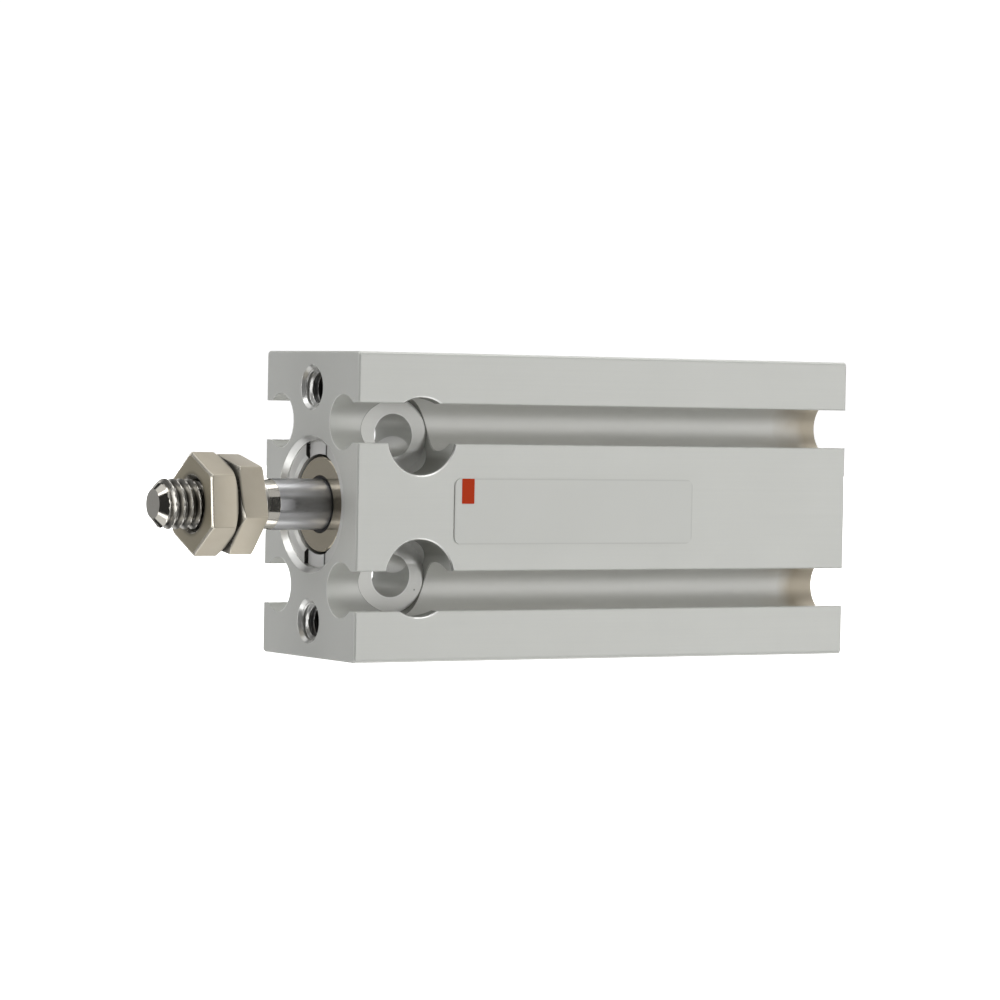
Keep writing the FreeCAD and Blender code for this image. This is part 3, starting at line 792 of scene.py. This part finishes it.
def nickelPlate():
    # Dull nickel on milled steel: warm grey, satin, with faint clouds and a few pits. Edges are worn bright.
    # Painted shade darkens the hole's mouth and the joint of the two nuts.
    material, shader = newMaterial("satin nickel plate", {
        "Metallic": plate["metallic"], "Roughness": plate["rough"][0],
    })
    here = placeOnPart(material)
    place = here["place"]
    endOn = addNode(material, "Math", {0: here["facing"]["X"]}, operation="ABSOLUTE")[0]
    offFlat = addNode(material, "MapRange", {0: endOn, (1, 2): plate["offFlat"]})[0]
    onEdge = addNode(material, "MapRange", {0: endOn, (1, 2): plate["offFace"], 4: offFlat})[0]
    onFace = addNode(material, "MapRange", {0: endOn, (1, 2): plate["onFace"]})[0]
    cloud = addNode(material, "TexNoise", {"Vector": place, "Scale": 1 / plate["cloud"], "Detail": 4})[0]
    fine = addNode(material, "TexNoise", {"Vector": place, "Scale": 1 / plate["fine"], "Detail": 2})[0]
    pitted = scatteredDots(material, place, plate["pits"])

    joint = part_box("rod_nut_inner")[0].x
    mouthShade, jointShade = plate["mouthShade"], plate["jointShade"]
    inMouth = addNode(material, "MapRange", {0: here["radius"], (1, 2): plate["mouth"], 4: mouthShade})[0]
    fromJoint = addNode(material, "Math", {0: here["x"], 1: joint}, operation="SUBTRACT")[0]
    offJoint = addNode(material, "Math", {0: fromJoint}, operation="ABSOLUTE")[0]
    inJoint = addNode(material, "MapRange", {0: offJoint, (1, 2): plate["joint"], 4: jointShade})[0]
    darkMask = addNode(material, "Math", {0: inMouth, 1: inJoint}, operation="MAXIMUM")[0]

    masks = ((cloud, "light"), (pitted, "pit"), (onFace, "face"), (onEdge, "edge"), (darkMask, "shadeColour"))
    tone = layColours(material, plate["dark"], [(mask, plate[name]) for mask, name in masks])
    polish = addNode(material, "MapRange", {0: onEdge, (3, 4): plate["rough"]})[0]
    rough = addNode(material, "Math", {
        0: cloud, 1: plate["roughCloud"], 2: polish,
    }, operation="MULTIPLY_ADD")[0]
    bump = addNode(material, "Bump", {
        "Strength": plate["fineStrength"], "Distance": plate["fineDepth"], "Height": fine,
    })[0]
    feed(material, shader, {"Base Color": tone, "Roughness": rough, "Normal": bump})
    return material


# Finish of the film
film = {
    # The darker edge tone is painted shade along the cut edge.
    "dark": "#D3D4CF", "light": "#D7D8D3", "edgeShade": "#CCCDC8",
    "shader": {"Metallic": 0.35, "Roughness": 0.45, "Coat Weight": 0.1, "Coat Roughness": 0.3},
    "cloud": 6.0 * mm,
    "fine": 0.15 * mm,
    "fineDepth": 0.002 * mm,
    "fineStrength": 0.15,
    "edgeShadeLine": (0.15 * mm, 0.06 * mm),  # from the edge: where the painted shade starts and is full
}


def satinFilm():
    # Metallised polyester film with a clear satin face: close to the block in tone, a little darker and
    # smoother. Painted shade darkens a thin line along its cut edge.
    low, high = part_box("label_film")
    material, shader = newMaterial("satin silver film", film["shader"])
    place = addNode(material, "TexCoord")["Object"]
    axes = addNode(material, "SeparateXYZ", {0: place})
    fromEdges = []
    for axis, first, last in ((axes["X"], low.x, high.x), (axes["Z"], low.z, high.z)):
        offMiddle = addNode(material, "Math", {0: axis, 1: (first + last) / 2}, operation="SUBTRACT")[0]
        distance = addNode(material, "Math", {0: offMiddle}, operation="ABSOLUTE")[0]
        inward = addNode(material, "Math", {0: (last - first) / 2, 1: distance}, operation="SUBTRACT")[0]
        fromEdges.append(inward)
    nearest = addNode(material, "Math", {(0, 1): fromEdges}, operation="MINIMUM")[0]
    edgeShaded = addNode(material, "MapRange", {0: nearest, (1, 2): film["edgeShadeLine"]})[0]
    cloud = addNode(material, "TexNoise", {"Vector": place, "Scale": 1 / film["cloud"], "Detail": 2})[0]
    fine = addNode(material, "TexNoise", {"Vector": place, "Scale": 1 / film["fine"], "Detail": 2})[0]
    tone = layColours(material, film["dark"], [(cloud, film["light"]), (edgeShaded, film["edgeShade"])])
    bump = addNode(material, "Bump", {
        "Strength": film["fineStrength"], "Distance": film["fineDepth"], "Height": fine,
    })[0]
    feed(material, shader, {"Base Color": tone, "Normal": bump})
    return material


finishes = {
    "anodised_aluminium": anodisedAluminium(),
    "tapped_aluminium": tappedAluminium(),
    "nickel_plated_steel": nickelPlate(),
    "label_film": satinFilm(),
}
finishes.update({slot: turnedMetal(finish) for slot, finish in turnedMetals.items()})
finishes.update({slot: speckledMatter(finish) for slot, finish in grainedMatter.items()})

for subpart in frame["record"]["subparts"]:
    slots = nodes[subpart["node"]].data.materials
    slots.clear()
    slots.append(finishes[subpart["material_slot"]])
for name in rod["finishes"]:
    rodPiece.data.materials.append(finishes[name])
rodPiece.data.polygons.foreach_set("material_index", rodFinish)
for piece in nutPieces:
    piece.data.materials.append(finishes["nickel_plated_steel"])
for piece in threadPieces:
    piece.data.materials.append(finishes["tapped_aluminium"])
redPiece.data.materials.append(finishes["red_print"])
print("materials set:", len(finishes))


# Floor, light and camera, with the studio's lengths in metres

studio = {
    "floorSize": 6.0,
    "paper": "#F4F4F2",
    "surroundGrey": 0.03,
    "backgroundWhite": 1.05,
    # middle of each panel, the way that its back looks, its width and depth, and how bright its face is
    "panels": {
        "strip_above": ((-0.1, -0.03, 0.56), (0, 0, 1), (1.2, 0.20), 3.2),
        "strip_below": ((-0.1, -0.03, -0.56), (0, 0, -1), (1.2, 0.20), 2.2),
        "panel_above": ((0.05, 0.30, 0.55), (0, 0, 1), (1.2, 0.46), 0.82),
        "panel_below": ((0.05, 0.30, -0.55), (0, 0, -1), (1.2, 0.46), 0.81),
        "front_above": ((0.1, -0.36, 0.48), (0, -0.6, 0.8), (1.2, 0.42), 0.56),
        "front_below": ((0.1, -0.36, -0.48), (0, -0.6, -0.8), (1.2, 0.42), 0.59),
        "right_panel": ((0.95, -1.37, 0), (0.57, -0.82, 0), (0.75, 1.5), 2.3),
        "right_wall": ((1.7, -0.7, 0), (0.98, -0.2, 0), (1.4, 2.0), 0.5),
        "left_panel": ((-0.8, 0.1, 0), (-0.992, 0.124, 0), (0.5, 0.6), 2.6),
        "back_left": ((-0.42, 0.70, 0), (-0.514, 0.857, 0), (0.5, 0.6), 0.26),
        "back_middle": ((-0.10, 0.80, 0), (-0.124, 0.992, 0), (0.28, 0.8), 1.0),
        "back_right": ((0.42, 0.70, 0), (0.514, 0.857, 0), (0.5, 0.6), 3.5),
    },
}


def studioFloor():
    # A wide pale sheet under the block. Only the camera sees it, so the lower strip can light the object.
    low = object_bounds()[0].z
    half = studio["floorSize"] / 2
    mesh = bpy.data.meshes.new("floor")
    corners = [(-half, -half, low), (half, -half, low), (half, half, low), (-half, half, low)]
    mesh.from_pydata(corners, [], [(0, 1, 2, 3)])
    floor = bpy.data.objects.new("floor", mesh)
    bpy.context.scene.collection.objects.link(floor)
    floor.visible_glossy = False
    floor.visible_diffuse = False
    floor.visible_shadow = False
    # Matte white paper, lit as evenly as the backdrop
    material = newMaterial("white paper sheet", {
        "Base Color": linear(studio["paper"]), "Roughness": 0.8,
        "Emission Color": (1, 1, 1, 1), "Emission Strength": 1.0,
    })[0]
    mesh.materials.append(material)


def studioLights():
    # Strips and panels above, below and on all four sides of the block, in a dim room with a white backdrop.
    # A panel's width lies as near to X as its back allows, and its power follows from brightness and area.
    for name, (place, back, size, bright) in studio["panels"].items():
        back = Vector(back).normalized()
        along = (Vector((1, 0, 0)) - back * back.x).normalized()
        light = bpy.data.lights.new(name, "AREA")
        light.shape = "RECTANGLE"
        light.size, light.size_y = size
        light.energy = bright * math.pi * light.size * light.size_y
        lamp = bpy.data.objects.new(name, light)
        turn = Matrix((along, back.cross(along), back)).transposed().to_4x4()
        lamp.matrix_world = Matrix.Translation(place) @ turn
        lamp.visible_camera = False
        bpy.context.scene.collection.objects.link(lamp)
    world = bpy.data.worlds.new("studio")
    world.use_nodes = True
    bpy.context.scene.world = world
    grey, white = studio["surroundGrey"], studio["backgroundWhite"]
    room = addNode(world, "Background", {"Color": (grey, grey, grey, 1)})[0]
    backdrop = addNode(world, "Background", {"Color": (white, white, white, 1)})[0]
    seen = addNode(world, "LightPath")["Is Camera Ray"]
    both = addNode(world, "MixShader", {0: seen, 1: room, 2: backdrop})[0]
    feed(world, world.node_tree.nodes["World Output"].inputs, {"Surface": both})


photoCamera = {
    "azimuth": -31.190,
    "elevation": 1.464,
    "roll": 1.065,
    "distance": 335.951 * mm,
    "aim": (20 * mm, 0, 0),
    "across": -2.243 * mm,
    "up": 0.382 * mm,
    "lens": 149.744,
    "sensor": 36.0,
    "nearest": 0.01,
    "furthest": 20.0,
}


def studioCamera():
    # Azimuth and elevation place the camera round the aim point. It is then rolled and moved in its plane.
    azimuth, elevation, roll = [math.radians(photoCamera[key]) for key in ("azimuth", "elevation", "roll")]
    level = math.cos(elevation)
    back = Vector((math.sin(azimuth) * level, -math.cos(azimuth) * level, math.sin(elevation)))
    right = Vector((math.cos(azimuth), math.sin(azimuth), 0))
    up = back.cross(right)
    right, up = math.cos(roll) * right + math.sin(roll) * up, math.cos(roll) * up - math.sin(roll) * right
    place = Vector(photoCamera["aim"]) + back * photoCamera["distance"]
    place += right * photoCamera["across"] + up * photoCamera["up"]
    lens = bpy.data.cameras.new("camera")
    lens.sensor_width = photoCamera["sensor"]
    lens.lens = photoCamera["lens"]
    lens.clip_start = photoCamera["nearest"]
    lens.clip_end = photoCamera["furthest"]
    camera = bpy.data.objects.new("camera", lens)
    turn = Matrix((right, up, back)).transposed().to_4x4()
    camera.matrix_world = Matrix.Translation(place) @ turn
    bpy.context.scene.collection.objects.link(camera)
    bpy.context.scene.camera = camera


studioFloor()
studioLights()
studioCamera()
bpy.context.scene.view_settings.view_transform = "Standard"
print("floor, lights and camera set")
